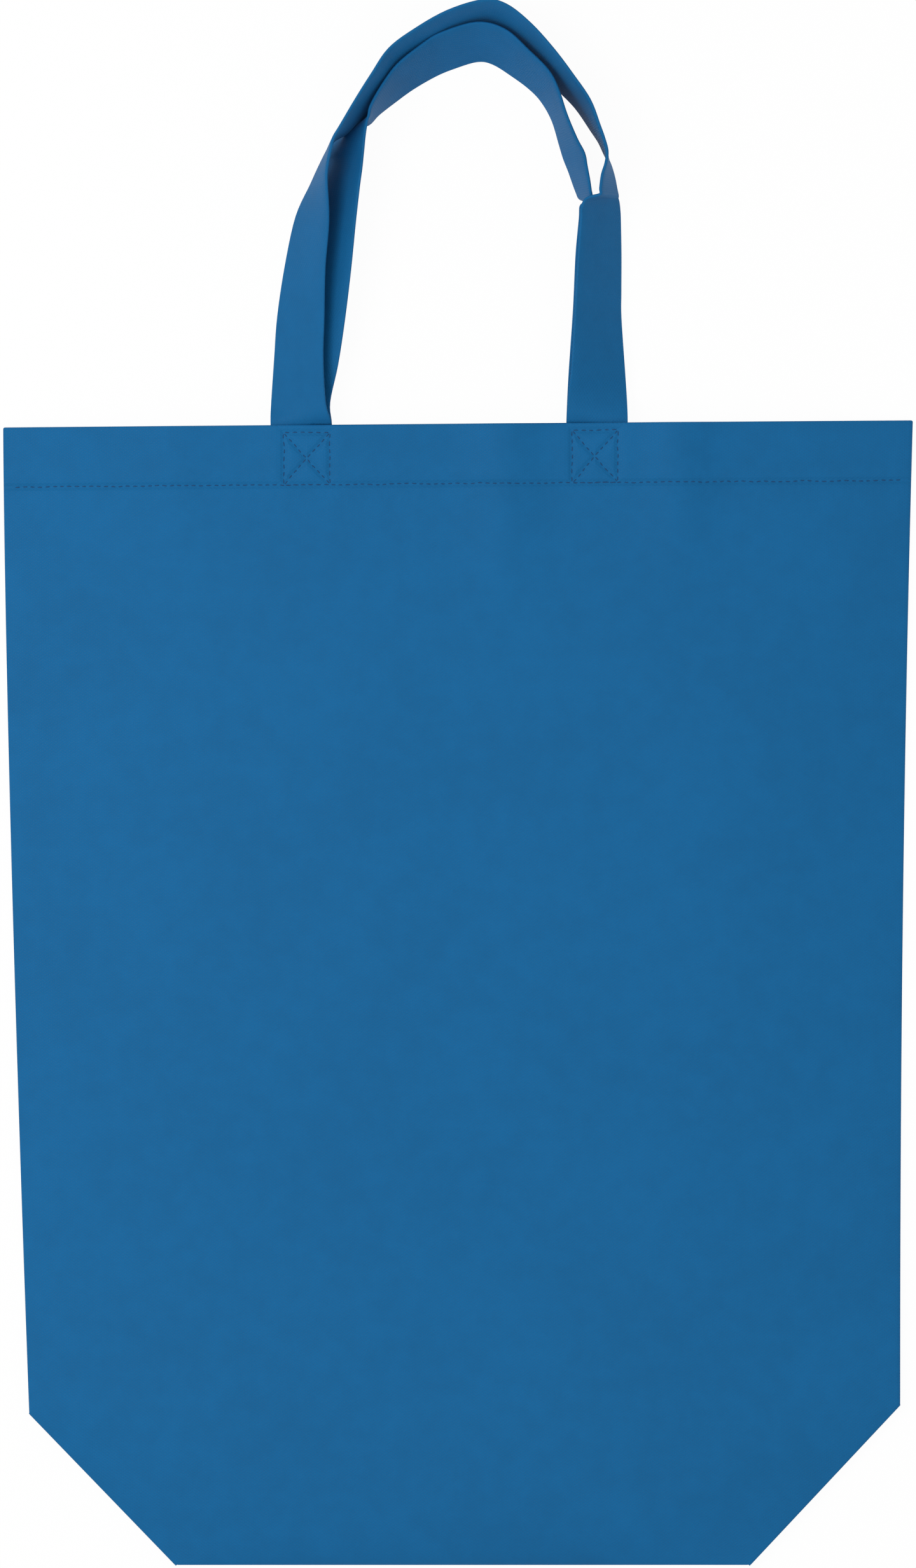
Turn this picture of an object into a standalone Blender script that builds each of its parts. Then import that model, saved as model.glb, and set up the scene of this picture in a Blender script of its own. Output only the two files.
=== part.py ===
"""Non-woven shopping bag with two sewn-on straps, empty and lying on its back.

One sheet of spunbond cloth is folded into the bag: the front panel, the two halves of the
base that fold up inside as a gusset, the back panel, and a hem turned in at the mouth.
Each handle is a strip folded double, its ends laid flat inside the hem.
Metres, +Z up. +X runs along the mouth and +Y from the base to the handles.
"""

import math

import bmesh
import bpy
from mathutils import Vector

# The bag's outline, laid flat
MOUTH_WIDTH = 0.360
BAG_HEIGHT = 0.4515
BASE_WIDTH = 0.2273
GUSSET_DEPTH = 0.120
HEM = 0.028
MOUTH_SLANT = 0.0028
RIGHT_CORNER_RISE = 0.0034
LEFT_DRAW_IN = 0.0103
RIGHT_DRAW_IN = 0.0050
BASE_SHIFT = 0.0019

# The cloth and how closely its layers lie
CLOTH = 0.00045
LAYER_GAP = 0.00045
FOLD_BULGE = 0.00045
SEAM_HEIGHT = 0.0016
BACK_EDGE_LIFT = 0.0006

# How far the front panel stands off, from the mouth to the gusset's corners and to the base
MOUTH_OPENING = 0.0082
FRONT_PUFF = 0.0120
CORNER_PUFF = 0.0085
GUSSET_SPREAD = 0.0008
SOFT_FOLD_HEIGHT = 0.0012
SOFT_FOLD_WIDTH = 0.009
SOFT_FOLD_LENGTH = 0.060
SOFT_FOLDS = (-0.112, 0.018, 0.087)

# The handles
HANDLE_RISE = 0.1667
STRAP_SPACING = 0.1172
HANDLE_SHIFT = -0.0035
STRAP_WIDTH = 0.0245
STRAP_SLIT = 0.0003
STRAP_TAIL = 0.0265
STRAP_CLEAR = 0.0025
SEAT_GAP = 0.0005

# How finely the sheet is divided
COLUMNS = 18
PANEL_ROWS = 15
GUSSET_ROWS = 4
HEM_ROWS = 2
FOLD_STEPS = 3
STRAP_STEPS = 2

BLUE = (0.0103, 0.130, 0.333, 1.0)
STRAP_BLUE = (0.0115, 0.118, 0.300, 1.0)

# Each row: across, as a share of the strap spacing; beyond the mouth, as a share of the
# handle's rise; the strap's tilt in degrees, 0 flat, 90 on edge, more when its top leans
# outwards; and the height of its lower edge over the ground, as a share of its width.
FRONT_ROUTE = (
    (-0.508, 0.048, 28, 0.184),
    (-0.507, 0.154, 38, 0.090),
    (-0.500, 0.252, 41, 0.065),
    (-0.485, 0.373, 50, 0.045),
    (-0.461, 0.486, 58, 0.037),
    (-0.436, 0.570, 71, 0.033),
    (-0.401, 0.634, 83, 0.033),
    (-0.392, 0.662, 90, 0.033),
    (-0.356, 0.698, 96, 0.033),
    (-0.319, 0.727, 103, 0.033),
    (-0.257, 0.781, 110, 0.033),
    (-0.164, 0.858, 120, 0.033),
    (-0.058, 0.911, 122, 0.033),
    (0.065, 0.957, 118, 0.033),
    (0.137, 0.967, 116, 0.033),
    (0.199, 0.953, 112, 0.033),
    (0.288, 0.900, 108, 0.033),
    (0.360, 0.843, 106, 0.033),
    (0.433, 0.769, 104, 0.033),
    (0.483, 0.703, 100, 0.033),
    (0.514, 0.665, 94, 0.033),
    (0.529, 0.643, 90, 0.033),
    (0.529, 0.600, 80, 0.033),
    (0.533, 0.554, 76, 0.033),
    (0.529, 0.536, 70, 0.033),
    (0.523, 0.519, 64, 0.033),
    (0.523, 0.486, 62, 0.041),
    (0.518, 0.403, 57, 0.057),
    (0.513, 0.313, 53, 0.098),
    (0.504, 0.252, 47, 0.122),
    (0.501, 0.131, 33, 0.171),
    (0.499, 0.071, 18, 0.265),
)
REAR_ROUTE = (
    (-0.498, 0.071, 15, 0.033),
    (-0.463, 0.154, 30, 0.033),
    (-0.436, 0.252, 36, 0.033),
    (-0.407, 0.373, 43, 0.033),
    (-0.382, 0.486, 50, 0.033),
    (-0.360, 0.570, 57, 0.033),
    (-0.338, 0.634, 64, 0.033),
    (-0.330, 0.657, 68, 0.033),
    (-0.309, 0.684, 79, 0.041),
    (-0.292, 0.702, 84, 0.033),
    (-0.274, 0.716, 90, 0.033),
    (-0.226, 0.768, 104, 0.033),
    (-0.132, 0.836, 114, 0.033),
    (-0.028, 0.878, 125, 0.033),
    (0.094, 0.900, 122, 0.033),
    (0.148, 0.895, 117, 0.033),
    (0.207, 0.872, 117, 0.033),
    (0.303, 0.820, 113, 0.033),
    (0.365, 0.746, 104, 0.033),
    (0.403, 0.682, 107, 0.033),
    (0.423, 0.639, 108, 0.033),
    (0.440, 0.592, 105, 0.033),
    (0.453, 0.561, 102, 0.033),
    (0.454, 0.541, 97, 0.033),
    (0.450, 0.521, 90, 0.033),
    (0.470, 0.486, 76, 0.033),
    (0.483, 0.449, 66, 0.033),
    (0.491, 0.403, 58, 0.033),
    (0.494, 0.313, 50, 0.033),
    (0.493, 0.252, 46, 0.033),
    (0.495, 0.131, 34, 0.033),
    (0.498, 0.071, 19, 0.041),
)

# Worked out from the sizes above
LAYER = CLOTH + LAYER_GAP
STRAP_THICKNESS = 2 * CLOTH + STRAP_SLIT
BOTTOM_Y = -(BAG_HEIGHT + HANDLE_RISE) / 2
MOUTH_Y = BOTTOM_Y + BAG_HEIGHT
CORNER_Y = BOTTOM_Y + GUSSET_DEPTH / 2
FOLD_REACH = FOLD_BULGE + CLOTH / 2


def mix(a, b, share):
    """The value that far from a to b."""
    return a + (b - a) * share


def smooth(share):
    """An even rise from 0 to 1 with level ends."""
    share = min(max(share, 0.0), 1.0)
    return share * share * (3 - 2 * share)


def side_x(side, down):
    """The outline's x on one side, from the mouth (down 0) past the gusset's corner (1) to the base (2)."""
    fall = min(down, 1.0)
    if side < 0:
        upper = -MOUTH_WIDTH / 2 + LEFT_DRAW_IN * fall**1.4
    else:
        upper = MOUTH_WIDTH / 2 - RIGHT_DRAW_IN * (1 - (1 - fall) ** 2.2)
    if down <= 1:
        return upper
    return mix(upper, BASE_SHIFT + side * BASE_WIDTH / 2, down - 1)


def side_y(side, down):
    """The outline's y on one side."""
    mouth = MOUTH_Y + side * MOUTH_SLANT / 2
    corner = CORNER_Y + (RIGHT_CORNER_RISE if side > 0 else 0.0)
    if down <= 1:
        return mix(mouth, corner, down)
    return mix(corner, BOTTOM_Y, down - 1)


def edge_height(down):
    """How far the front lies over the back at the side edges: the folded layers there set it."""
    stack = 3 * LAYER
    if down >= 1:
        return stack
    return mix(stack, SEAM_HEIGHT, smooth(down / 0.15) * smooth((1 - down) / 0.15))


def puff(down):
    """How far the front panel stands off at its middle."""
    if down <= 0.4:
        return mix(MOUTH_OPENING, FRONT_PUFF, smooth(down / 0.4))
    if down <= 1:
        return mix(FRONT_PUFF, CORNER_PUFF, smooth((down - 0.4) / 0.6))
    return CORNER_PUFF * math.sqrt(max(0.0, 1 - (down - 1) ** 2.5))


def back_height(across):
    """The back panel is flat on the ground and lifts a little towards its side edges."""
    return CLOTH / 2 + BACK_EDGE_LIFT * smooth((abs(across) - 0.75) / 0.25)


def soft_folds(x, down):
    """Soft folds that run down from the mouth and die out."""
    fade = 1 - smooth(down * (MOUTH_Y - CORNER_Y) / SOFT_FOLD_LENGTH)
    crests = sum(math.exp(-0.5 * ((x - crest) / SOFT_FOLD_WIDTH) ** 2) for crest in SOFT_FOLDS)
    return SOFT_FOLD_HEIGHT * fade * crests


def front_height(across, x, down):
    """The front panel's height over the ground."""
    profile = 1 - abs(across) ** 3
    rise = puff(down) * profile + soft_folds(x, down) * profile
    return back_height(across) + edge_height(down) + rise


def sheet_point(across, down, inset=0.0):
    """x and y of the sheet: across runs from -1 to 1, and inset draws its side edges in."""
    ends = []
    for side in (-1, 1):
        x = side_x(side, down) - side * (FOLD_REACH + inset)
        ends.append((x, side_y(side, down)))
    share = (across + 1) / 2
    x = mix(ends[0][0], ends[1][0], share)
    y = mix(ends[0][1], ends[1][1], share)
    y += mix(FOLD_REACH, -FOLD_REACH, smooth(1 - down / 2)) if down in (0.0, 2.0) else 0.0
    return x, y


def columns():
    """The shares across at which the sheet is divided, closer together towards the sides."""
    return [math.sin(math.pi / 2 * (2 * i / COLUMNS - 1) * 0.86) / math.sin(math.pi / 2 * 0.86)
            for i in range(COLUMNS + 1)]


def front_point(across, down, depth=0.0, forward=0.0):
    """A point of the front panel, or of the hem ply that lies depth under it."""
    x, y = sheet_point(across, down, depth)
    return Vector((x, y + forward, front_height(across, x, down) - depth))


def back_point(across, down, depth=0.0, forward=0.0):
    """A point of the back panel, or of the hem ply that lies depth over it."""
    x, y = sheet_point(across, down, depth)
    return Vector((x, y + forward, back_height(across) + depth))


def gusset_point(across, down, layer):
    """A point of the gusset: layer 1 lies on the back panel, and layer 2 on layer 1."""
    x, y = sheet_point(across, down)
    spread = GUSSET_SPREAD * (1 - across**4) * (layer - 1)
    return Vector((x, y, back_height(across) + layer * LAYER + spread))


def fold(start, end, outward, reach=FOLD_BULGE):
    """The points between two edges along the half-round fold that joins them."""
    middle = (start + end) / 2
    return [
        middle + (start - middle) * math.cos(math.pi * i / FOLD_STEPS)
        + outward * reach * math.sin(math.pi * i / FOLD_STEPS)
        for i in range(1, FOLD_STEPS)
    ]


def bridge(mesh, first, second, closed=False):
    """Faces between two rows of vertices."""
    count = len(first) if closed else len(first) - 1
    for i in range(count):
        j = (i + 1) % len(first)
        mesh.faces.new((first[i], first[j], second[j], second[i]))


def ring(mesh, upper, lower, directions):
    """A closed row round a flat tube: its upper points, a fold, its lower points and a fold."""
    left, right = directions
    parts = {
        "upper": [mesh.verts.new(p) for p in upper],
        "right": [mesh.verts.new(p) for p in fold(upper[-1], lower[-1], right)],
        "lower": [mesh.verts.new(p) for p in lower],
        "left": [mesh.verts.new(p) for p in fold(upper[0], lower[0], left)],
    }
    return parts


def loop_of(parts):
    """The ring's vertices in order, once round."""
    return parts["upper"] + parts["right"] + parts["lower"][::-1] + parts["left"][::-1]


def tube_rows():
    """The rows from the hem's cut edge up over the mouth and down to the gusset's corners."""
    length = MOUTH_Y - CORNER_Y
    rows = []
    for i in range(HEM_ROWS, 0, -1):
        rows.append((HEM * i / HEM_ROWS / length, LAYER, 0.0))
    for i in range(FOLD_STEPS, 0, -1):
        angle = math.pi * i / FOLD_STEPS
        rows.append((0.0, LAYER / 2 * (1 - math.cos(angle)), FOLD_BULGE * math.sin(angle)))
    rows.append((0.0, 0.0, 0.0))
    for i in range(1, PANEL_ROWS + 1):
        rows.append(((i / PANEL_ROWS) ** 1.15, 0.0, 0.0))
    return rows


def corner_patch(mesh, side_edge, front_edge, ridge_edge, back_edge):
    """Closes the small four-sided opening where the side seam, both corner folds and the ridge meet.

    side_edge runs from front to back, ridge_edge from the front gusset to the back gusset,
    and front_edge and back_edge from their panel to their gusset layer.
    """
    n = FOLD_STEPS
    grid = [[None] * (n + 1) for _ in range(n + 1)]
    for i in range(n + 1):
        grid[i][0] = side_edge[i]
        grid[i][n] = ridge_edge[i]
        grid[0][i] = front_edge[i]
        grid[n][i] = back_edge[i]
    for i in range(1, n):
        for j in range(1, n):
            a, b = i / n, j / n
            ruled = mix(grid[i][0].co, grid[i][n].co, b) + mix(grid[0][j].co, grid[n][j].co, a)
            low = mix(grid[0][0].co, grid[n][0].co, a)
            high = mix(grid[0][n].co, grid[n][n].co, a)
            grid[i][j] = mesh.verts.new(ruled - mix(low, high, b))
    for i in range(n):
        bridge(mesh, grid[i], grid[i + 1])


def corner_directions():
    """Which way the folds along the cut corners bulge, left and right."""
    found = []
    for side in (-1, 1):
        run = Vector((side_x(side, 2) - side_x(side, 1), side_y(side, 2) - side_y(side, 1), 0))
        found.append(Vector((-run.y * side, run.x * side, 0)).normalized())
    return found


def gusset_pocket(mesh, top_row, point, layer, directions):
    """One half of the base: the panel's lower end, and the gusset layer that folds up inside it."""
    shares = columns()
    gusset = [mesh.verts.new(gusset_point(c, 1.0, layer)) for c in shares]
    first = {"upper": top_row, "lower": gusset}
    for name, end, outward in (("left", 0, directions[0]), ("right", -1, directions[1])):
        edge = fold(top_row[end].co, gusset[end].co, outward)
        first[name] = [mesh.verts.new(p) for p in edge]
    previous = first
    for i in range(1, GUSSET_ROWS + 1):
        down = 1 + math.sin(math.pi / 2 * i / GUSSET_ROWS)
        last = i == GUSSET_ROWS
        ways = [(d + Vector((0, -1, 0))).normalized() for d in directions] if last else directions
        upper = [point(c, 2.0 if last else down) for c in shares]
        lower = [gusset_point(c, 2.0 if last else down, layer) for c in shares]
        current = ring(mesh, upper, lower, ways)
        bridge(mesh, loop_of(previous), loop_of(current), closed=True)
        previous = current
    rows = [previous["upper"]]
    for i in range(FOLD_STEPS - 1):
        inner = [
            mesh.verts.new(fold(a.co, b.co, Vector((0, -1, 0)))[i])
            for a, b in zip(previous["upper"][1:-1], previous["lower"][1:-1])
        ]
        rows.append([previous["left"][i], *inner, previous["right"][i]])
    rows.append(previous["lower"])
    for upper_row, lower_row in zip(rows, rows[1:]):
        bridge(mesh, upper_row, lower_row)
    return first


def bag_sheet():
    """The middle surface of the folded sheet, open at the hem's cut edge."""
    mesh = bmesh.new()
    shares = columns()
    sideways = (Vector((-1, 0, 0)), Vector((1, 0, 0)))
    previous = None
    for down, depth, forward in tube_rows():
        upper = [front_point(c, down, depth, forward) for c in shares]
        lower = [back_point(c, down, depth, forward) for c in shares]
        current = ring(mesh, upper, lower, sideways)
        if previous:
            bridge(mesh, loop_of(previous), loop_of(current), closed=True)
        previous = current
    directions = corner_directions()
    front = gusset_pocket(mesh, previous["upper"], front_point, 2, directions)
    back = gusset_pocket(mesh, previous["lower"], back_point, 1, directions)
    rows = [front["lower"]]
    for i in range(FOLD_STEPS - 1):
        rows.append([
            mesh.verts.new(fold(a.co, b.co, Vector((0, 1, 0)))[i])
            for a, b in zip(front["lower"], back["lower"])
        ])
    rows.append(back["lower"])
    for front_row, back_row in zip(rows, rows[1:]):
        bridge(mesh, front_row, back_row)
    for name, end in (("left", 0), ("right", -1)):
        corner_patch(
            mesh,
            [previous["upper"][end], *previous[name], previous["lower"][end]],
            [front["upper"][end], *front[name], front["lower"][end]],
            [row[end] for row in rows],
            [back["upper"][end], *back[name], back["lower"][end]],
        )
    bmesh.ops.recalc_face_normals(mesh, faces=mesh.faces)
    mesh.normal_update()
    middle = min(mesh.faces, key=lambda f: (f.calc_center_median() - Vector((0, 0, 1))).length)
    if middle.normal.z < 0:
        bmesh.ops.reverse_faces(mesh, faces=mesh.faces)
    return mesh


def spline(values, index, share):
    """A smooth curve through a list of numbers, at a share of the way past one of them."""
    last = len(values) - 1
    a, b = values[max(index - 1, 0)], values[index]
    c, d = values[min(index + 1, last)], values[min(index + 2, last)]
    return b + 0.5 * share * (
        c - a + share * (2 * a - 5 * b + 4 * c - d + share * (3 * (b - c) + d - a))
    )


def seat(side, beyond, front):
    """Where a strap's end lies: on the inner face of the hem, level across, on the front or the back."""
    x = HANDLE_SHIFT + side * STRAP_SPACING / 2
    across = x / (MOUTH_WIDTH / 2)
    under = LAYER + CLOTH / 2 + SEAT_GAP + STRAP_THICKNESS / 2
    mouth = MOUTH_Y + MOUTH_SLANT / 2 * across
    if front:
        z = front_height(across, x, max(-beyond, 0.0) / (MOUTH_Y - CORNER_Y)) - under
    else:
        z = back_height(across) + under
    return (x, mouth + beyond, 0.0, z)


def strap_stations(route, front):
    """The strap's middle line with its tilt and its lower edge's height, from one end to the other."""
    inside = (-STRAP_TAIL, -STRAP_TAIL / 2, 0.0, STRAP_CLEAR)
    stations = [seat(-1, beyond, front) for beyond in inside]
    for across, beyond, tilt, foot in route:
        x = HANDLE_SHIFT + across * STRAP_SPACING
        y = MOUTH_Y + beyond * HANDLE_RISE
        stations.append((x, y, math.radians(tilt), foot * STRAP_WIDTH))
    stations += [seat(1, beyond, front) for beyond in reversed(inside)]
    return stations


def strap_frames(route, front):
    """Middle point, direction across the strap and direction through it, along the strap."""
    stations = strap_stations(route, front)
    lists = list(zip(*stations))
    points = []
    for index in range(len(stations) - 1):
        for step in range(STRAP_STEPS):
            points.append([spline(values, index, step / STRAP_STEPS) for values in lists])
    points.append(list(stations[-1]))
    middles = []
    for x, y, tilt, foot in points:
        middles.append(Vector((x, y, foot + STRAP_WIDTH / 2 * math.sin(tilt))))
    frames = []
    for i, (_, _, tilt, _) in enumerate(points):
        along = middles[min(i + 1, len(middles) - 1)] - middles[max(i - 1, 0)]
        inward = Vector((along.y, -along.x, 0)).normalized()
        across = inward * math.cos(tilt) + Vector((0, 0, 1)) * math.sin(tilt)
        through = across.cross(along).normalized()
        frames.append((middles[i], across, through))
    return frames


def strap_sheet(route, front):
    """The middle surface of a strip folded double along one edge, open along the other."""
    mesh = bmesh.new()
    half = (STRAP_WIDTH - CLOTH) / 2
    lift = (STRAP_SLIT + CLOTH) / 2
    section = ((-half, lift), (0.0, lift), (half - lift, lift), (half, 0.0))
    section += tuple((a, -b) for a, b in reversed(section[:-1]))
    previous = None
    for middle, across, through in strap_frames(route, front):
        row = [mesh.verts.new(middle + across * a + through * b) for a, b in section]
        if previous:
            bridge(mesh, previous, row)
        previous = row
    bmesh.ops.recalc_face_normals(mesh, faces=mesh.faces)
    return mesh


def material(name, colour, roughness):
    """A plain cloth finish."""
    made = bpy.data.materials.new(name)
    made.use_nodes = True
    shader = made.node_tree.nodes["Principled BSDF"]
    shader.inputs["Base Color"].default_value = colour
    shader.inputs["Roughness"].default_value = roughness
    shader.inputs["Metallic"].default_value = 0.0
    return made


def cloth_object(name, sheet, finish, collection):
    """An object of the sheet with the cloth's thickness."""
    data = bpy.data.meshes.new(name)
    sheet.to_mesh(data)
    sheet.free()
    data.materials.append(finish)
    data.shade_smooth()
    made = bpy.data.objects.new(name, data)
    collection.objects.link(made)
    wall = made.modifiers.new("Cloth", "SOLIDIFY")
    wall.thickness = CLOTH
    wall.offset = 0.0
    return made


def main():
    for old in list(bpy.data.objects):
        bpy.data.objects.remove(old, do_unlink=True)
    collection = bpy.data.collections.new("shopping_bag")
    bpy.context.scene.collection.children.link(collection)
    body_finish = material("body_cloth", BLUE, 0.85)
    strap_finish = material("strap_cloth", STRAP_BLUE, 0.85)
    cloth_object("bag_body", bag_sheet(), body_finish, collection)
    cloth_object("front_handle", strap_sheet(FRONT_ROUTE, True), strap_finish, collection)
    cloth_object("rear_handle", strap_sheet(REAR_ROUTE, False), strap_finish, collection)


main()
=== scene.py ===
"""Looks of an empty non-woven shopping bag that lies on its back, seen square on from above.

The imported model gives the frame: metres, +X along the mouth, +Y from the base towards the
handles, +Z up. The folded body and both handles are made here from finer cloth and stand
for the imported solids, and the sewing thread is added.
"""

import logging
import math
from dataclasses import dataclass, field
from enum import Enum

import bmesh
import bpy
from bmesh.types import BMesh, BMVert
from bpy.types import Material, Node, NodeSocket, NodeTree, Object, ShaderNodeTree
from mathutils import Matrix, Vector, noise


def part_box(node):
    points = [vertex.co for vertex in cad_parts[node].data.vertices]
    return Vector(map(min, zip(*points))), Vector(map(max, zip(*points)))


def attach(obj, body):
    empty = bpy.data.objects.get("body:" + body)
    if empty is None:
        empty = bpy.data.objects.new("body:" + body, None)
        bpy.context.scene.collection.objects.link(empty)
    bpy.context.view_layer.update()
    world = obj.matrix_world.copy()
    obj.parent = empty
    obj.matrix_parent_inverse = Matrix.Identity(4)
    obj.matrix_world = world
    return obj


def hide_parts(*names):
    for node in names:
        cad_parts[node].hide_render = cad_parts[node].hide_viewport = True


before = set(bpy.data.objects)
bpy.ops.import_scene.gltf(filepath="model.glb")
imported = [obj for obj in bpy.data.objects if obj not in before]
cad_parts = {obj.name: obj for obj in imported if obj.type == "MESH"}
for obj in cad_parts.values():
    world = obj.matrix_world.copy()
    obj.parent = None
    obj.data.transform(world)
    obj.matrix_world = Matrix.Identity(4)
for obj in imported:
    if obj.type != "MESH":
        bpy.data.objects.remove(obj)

LOG = logging.getLogger("shopping_bag")
ROOT = "root"
BODY_BLUE = (0.0026, 0.124, 0.320)
STRAP_BLUE = (0.0030, 0.120, 0.308)
THREAD_BLUE = (0.0050, 0.056, 0.165)
MM = 0.001

Value = NodeSocket | float | tuple[float, ...]
Station = tuple[float, float, float, float, float]


class Panel(Enum):
    """The bag's two outer panels; the back one lies on the ground."""

    FRONT = "front"
    BACK = "back"


def mix(a: float | Vector, b: float | Vector, share: float) -> float | Vector:
    """Returns the value that far from a to b, for numbers and vectors alike."""
    return a + (b - a) * share


def smooth(share: float) -> float:
    """Returns an even rise from 0 to 1 with level ends."""
    share = min(max(share, 0.0), 1.0)
    return share * share * (3 - 2 * share)


def bell(distance: float, width: float) -> float:
    """Returns 1 at no distance, falling away softly over the width."""
    return math.exp(-0.5 * (distance / width) ** 2)


def spline(values: list[float], index: int, share: float) -> float:
    """Returns a smooth curve through a list of numbers, a share of the way past one of them.

    Args:
        values: The numbers that the curve passes through.
        index: The number that it has just passed.
        share: How far it is on the way to the next one.
    """
    last = len(values) - 1
    a, b = values[max(index - 1, 0)], values[index]
    c, d = values[min(index + 1, last)], values[min(index + 2, last)]
    bend = 2 * a - 5 * b + 4 * c - d + share * (3 * (b - c) + d - a)
    return b + 0.5 * share * (c - a + share * bend)


def deselect_all() -> None:
    """Leaves edit mode and clears the selection, which the loaded nodes are in at first."""
    if bpy.context.object and bpy.context.object.mode != "OBJECT":
        bpy.ops.object.mode_set(mode="OBJECT")
    bpy.ops.object.select_all(action="DESELECT")


class Graph:
    """Adds and links the nodes of one node tree."""

    def __init__(self, tree: NodeTree) -> None:
        """Keeps the tree that the nodes go into."""
        self.tree = tree

    def node(self, kind: str, inputs: dict[str | int, Value] | None = None, **settings) -> Node:
        """Adds a node.

        Args:
            kind: Blender's name of the node's type.
            inputs: A value or another node's output for each socket.
            **settings: The node's own properties.

        Returns:
            The new node.
        """
        made = self.tree.nodes.new(kind)
        for name, value in settings.items():
            setattr(made, name, value)
        for key, value in (inputs or {}).items():
            self.feed(made.inputs[key], value)
        return made

    def feed(self, socket: NodeSocket, value: Value) -> None:
        """Links a socket to an output, or sets its value."""
        if isinstance(value, NodeSocket):
            self.tree.links.new(value, socket)
        else:
            socket.default_value = value

    def math(self, operation: str, *values: Value) -> NodeSocket:
        """Adds a Math node and returns its result."""
        return self.node("ShaderNodeMath", dict(enumerate(values)), operation=operation).outputs[0]

    def vector_math(self, operation: str, *values: Value) -> NodeSocket:
        """Adds a Vector Math node and returns its vector."""
        return self.node("ShaderNodeVectorMath", dict(enumerate(values)), operation=operation).outputs[0]

    def noise(self, vector: Value, size: float, detail: float = 2.0, roughness: float = 0.5) -> NodeSocket:
        """Adds noise whose features are about as long as size, in metres, and returns its value."""
        inputs = {"Vector": vector, "Scale": 1 / size, "Detail": detail, "Roughness": roughness}
        return self.node("ShaderNodeTexNoise", inputs).outputs["Fac"]

    def between(self, value: Value, low: Value, high: Value, to_low: Value, to_high: Value) -> NodeSocket:
        """Maps a value smoothly from one range to another and returns it."""
        inputs = {"Value": value, "From Min": low, "From Max": high, "To Min": to_low, "To Max": to_high}
        return self.node("ShaderNodeMapRange", inputs, interpolation_type="SMOOTHSTEP").outputs["Result"]


@dataclass(frozen=True)
class SpunbondWeb:
    """The cloth's web of fibres, welded together at small oval points, as a node group."""

    weld_pitch: float = 0.00125
    weld_length: float = 0.44
    weld_width: float = 0.30
    weld_edge: tuple[float, float] = (0.22, 0.34)
    weld_turn: float = 45.0
    weld_disorder: float = 0.10
    weld_depth: float = 0.000045
    fibre_width: float = 0.00016
    fibre_stretch: float = 0.06
    fibre_angles: tuple[int, ...] = (12, -31, 74)
    fibre_height: float = 0.000022
    cloud_size: float = 0.010
    cloud_detail: float = 3.0
    cloud_share: float = 0.6
    drift_size: float = 0.060
    drift_share: float = 0.4
    roughness: float = 0.6
    name: str = "spunbond_web"

    def group(self) -> ShaderNodeTree:
        """Returns the group, which is built once: Vector in, Welds, Density and Height out."""
        if self.name in bpy.data.node_groups:
            return bpy.data.node_groups[self.name]
        tree = bpy.data.node_groups.new(self.name, "ShaderNodeTree")
        tree.interface.new_socket("Vector", in_out="INPUT", socket_type="NodeSocketVector")
        for output in ("Welds", "Density", "Height"):
            tree.interface.new_socket(output, in_out="OUTPUT", socket_type="NodeSocketFloat")
        graph = Graph(tree)
        place = graph.node("NodeGroupInput").outputs["Vector"]
        welds = self.welds(graph, place)
        fibres = self.fibres(graph, place)
        clouds = graph.noise(place, self.cloud_size, self.cloud_detail, self.roughness)
        drift = graph.noise(place, self.drift_size, 1.0)
        patches = graph.math("MULTIPLY", clouds, self.cloud_share)
        density = graph.math("ADD", patches, graph.math("MULTIPLY", drift, self.drift_share))
        pressed = graph.math("MULTIPLY", welds, -self.weld_depth)
        strands = graph.math("MULTIPLY", fibres, self.fibre_height)
        loft = graph.math("MULTIPLY", clouds, self.weld_depth)
        height = graph.math("ADD", graph.math("ADD", pressed, strands), loft)
        end = graph.node("NodeGroupOutput")
        graph.feed(end.inputs["Welds"], welds)
        graph.feed(end.inputs["Density"], density)
        graph.feed(end.inputs["Height"], height)
        return tree

    def welds(self, graph: Graph, place: NodeSocket) -> NodeSocket:
        """Returns a mask of the oval weld points, which stand in staggered rows."""
        stretch = (1.0, self.weld_length / self.weld_width, 1.0)
        turned = graph.node(
            "ShaderNodeMapping",
            {"Vector": place, "Rotation": (0.0, 0.0, math.radians(self.weld_turn)), "Scale": stretch},
        ).outputs[0]
        cells = graph.node(
            "ShaderNodeTexVoronoi",
            {"Vector": turned, "Scale": 1 / self.weld_pitch, "Randomness": self.weld_disorder},
            voronoi_dimensions="2D",
        ).outputs["Distance"]
        return graph.between(cells, *self.weld_edge, 1.0, 0.0)

    def fibres(self, graph: Graph, place: NodeSocket) -> NodeSocket:
        """Returns the height of fine strands that cross at slight angles."""
        layers = []
        stretch = (1.0, self.fibre_stretch, 1.0)
        for angle in self.fibre_angles:
            turned = graph.node(
                "ShaderNodeMapping",
                {"Vector": place, "Rotation": (0.0, 0.0, math.radians(angle)), "Scale": stretch},
            ).outputs[0]
            layers.append(graph.noise(turned, self.fibre_width, roughness=self.roughness))
        return graph.math("MAXIMUM", graph.math("MAXIMUM", layers[0], layers[1]), layers[2])


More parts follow.
